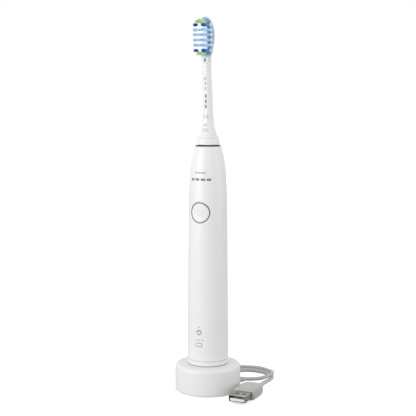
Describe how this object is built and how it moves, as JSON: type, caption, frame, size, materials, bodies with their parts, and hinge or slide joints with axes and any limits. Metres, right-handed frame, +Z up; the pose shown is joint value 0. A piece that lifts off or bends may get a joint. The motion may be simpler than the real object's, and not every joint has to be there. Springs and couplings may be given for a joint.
{
  "type": "electric toothbrush",
  "caption": "Sonic electric toothbrush with a push-on brush head, standing on a round inductive charging base with a thin lead that ends in a flat power plug.",
  "frame": {"origin": "middle of the charging base's foot, on the surface it stands on", "axes": "+Z up along the handle's axis, -Y the front with the button and bristles, +X to the right of the front"},
  "size_m": [0.0862, 0.0904, 0.2617],
  "materials": {
    "white_shell": "satin moulded white",
    "charger_plastic": "satin moulded white",
    "soft_foot": "matte",
    "grey_bezel": "satin metallised ring",
    "dark_seal": "matte",
    "inner_plastic": "moulded",
    "board_green": "solder mask",
    "chips": "moulded black",
    "copper_wire": "enamelled copper",
    "ferrite": "sintered",
    "cell_wrap": "shrink wrap",
    "nickel": "nickel strip",
    "steel": "drawn steel",
    "bush_plastic": "acetal",
    "magnet": "nickel plated",
    "clear_guide": "clear moulded",
    "silicone": "translucent",
    "head_white": "satin moulded white",
    "plate_blue": "translucent soft overmould",
    "bristle_deep_blue": "nylon filament",
    "bristle_light_blue": "nylon filament",
    "bristle_green": "nylon filament",
    "bristle_white": "nylon filament",
    "cord_jacket": "soft white jacket",
    "plug_plastic": "soft moulded grip",
    "plug_steel": "nickel plated folded shell",
    "plug_tongue": "moulded",
    "gold": "gold flash"
  },
  "bodies": {
    "charger": {"charger_cover": "charger_plastic", "charger_base_plate": "charger_plastic", "foot_pad": "soft_foot", "transmitter_core": "ferrite", "transmitter_bobbin": "inner_plastic", "transmitter_coil": "copper_wire", "charger_board": "board_green", "charger_board_parts": "chips", "cord_relief": "cord_jacket", "cord_lead": "cord_jacket", "cord_coil": "cord_jacket", "cord_tail": "cord_jacket", "plug_grip": "plug_plastic", "plug_shell": "plug_steel", "plug_tongue": "plug_tongue", "plug_contacts": "gold"},
    "handle": {"handle_shell": "white_shell", "end_cap": "white_shell", "end_cap_seal": "dark_seal", "shaft_seal": "dark_seal", "receiver_coil": "copper_wire", "receiver_ferrite": "ferrite", "button_ring": "grey_bezel", "button_membrane": "silicone", "inner_chassis": "inner_plastic", "battery_cell": "cell_wrap", "battery_tabs": "nickel", "main_board": "board_green", "main_board_parts": "chips", "indicator_lights": "clear_guide", "light_guide": "clear_guide", "tact_switch": "chips", "damping_pad": "silicone", "motor_frame": "steel", "motor_screws": "steel", "stator_stack": "steel", "drive_coils": "copper_wire", "rear_bush": "bush_plastic", "front_bush": "bush_plastic"},
    "rotor": {"drive_shaft": "steel", "magnet_carrier": "inner_plastic", "rotor_magnets": "magnet", "return_spring": "steel"},
    "power_button": {"power_button": "white_shell"},
    "brush_head": {"head_base_ring": "head_white", "head_neck": "head_white", "bristle_plate": "plate_blue", "shaft_socket": "inner_plastic", "head_tag": "copper_wire", "tufts_deep_blue": "bristle_deep_blue", "tufts_light_blue": "bristle_light_blue", "tufts_green": "bristle_green", "tufts_white": "bristle_white"}
  },
  "joints": [
    {"name": "handle_lift", "type": "slide", "parent": "charger", "child": "handle", "axis": [0, 0, 1], "range_m": [0, 0.05]},
    {"name": "shaft_sweep", "type": "hinge", "parent": "handle", "child": "rotor", "pos_m": [0, 0, 0.14], "axis": [0, 0, 1], "range_deg": [-6, 6], "stiffness_Nm_per_rad": 0.005},
    {"name": "head_pull", "type": "slide", "parent": "rotor", "child": "brush_head", "axis": [0, 0, 1], "range_m": [0, 0.03]},
    {"name": "button_press", "type": "slide", "parent": "handle", "child": "power_button", "axis": [0, 1, 0], "range_m": [0, 0.0005], "stiffness_N_per_m": 10}
  ]
}
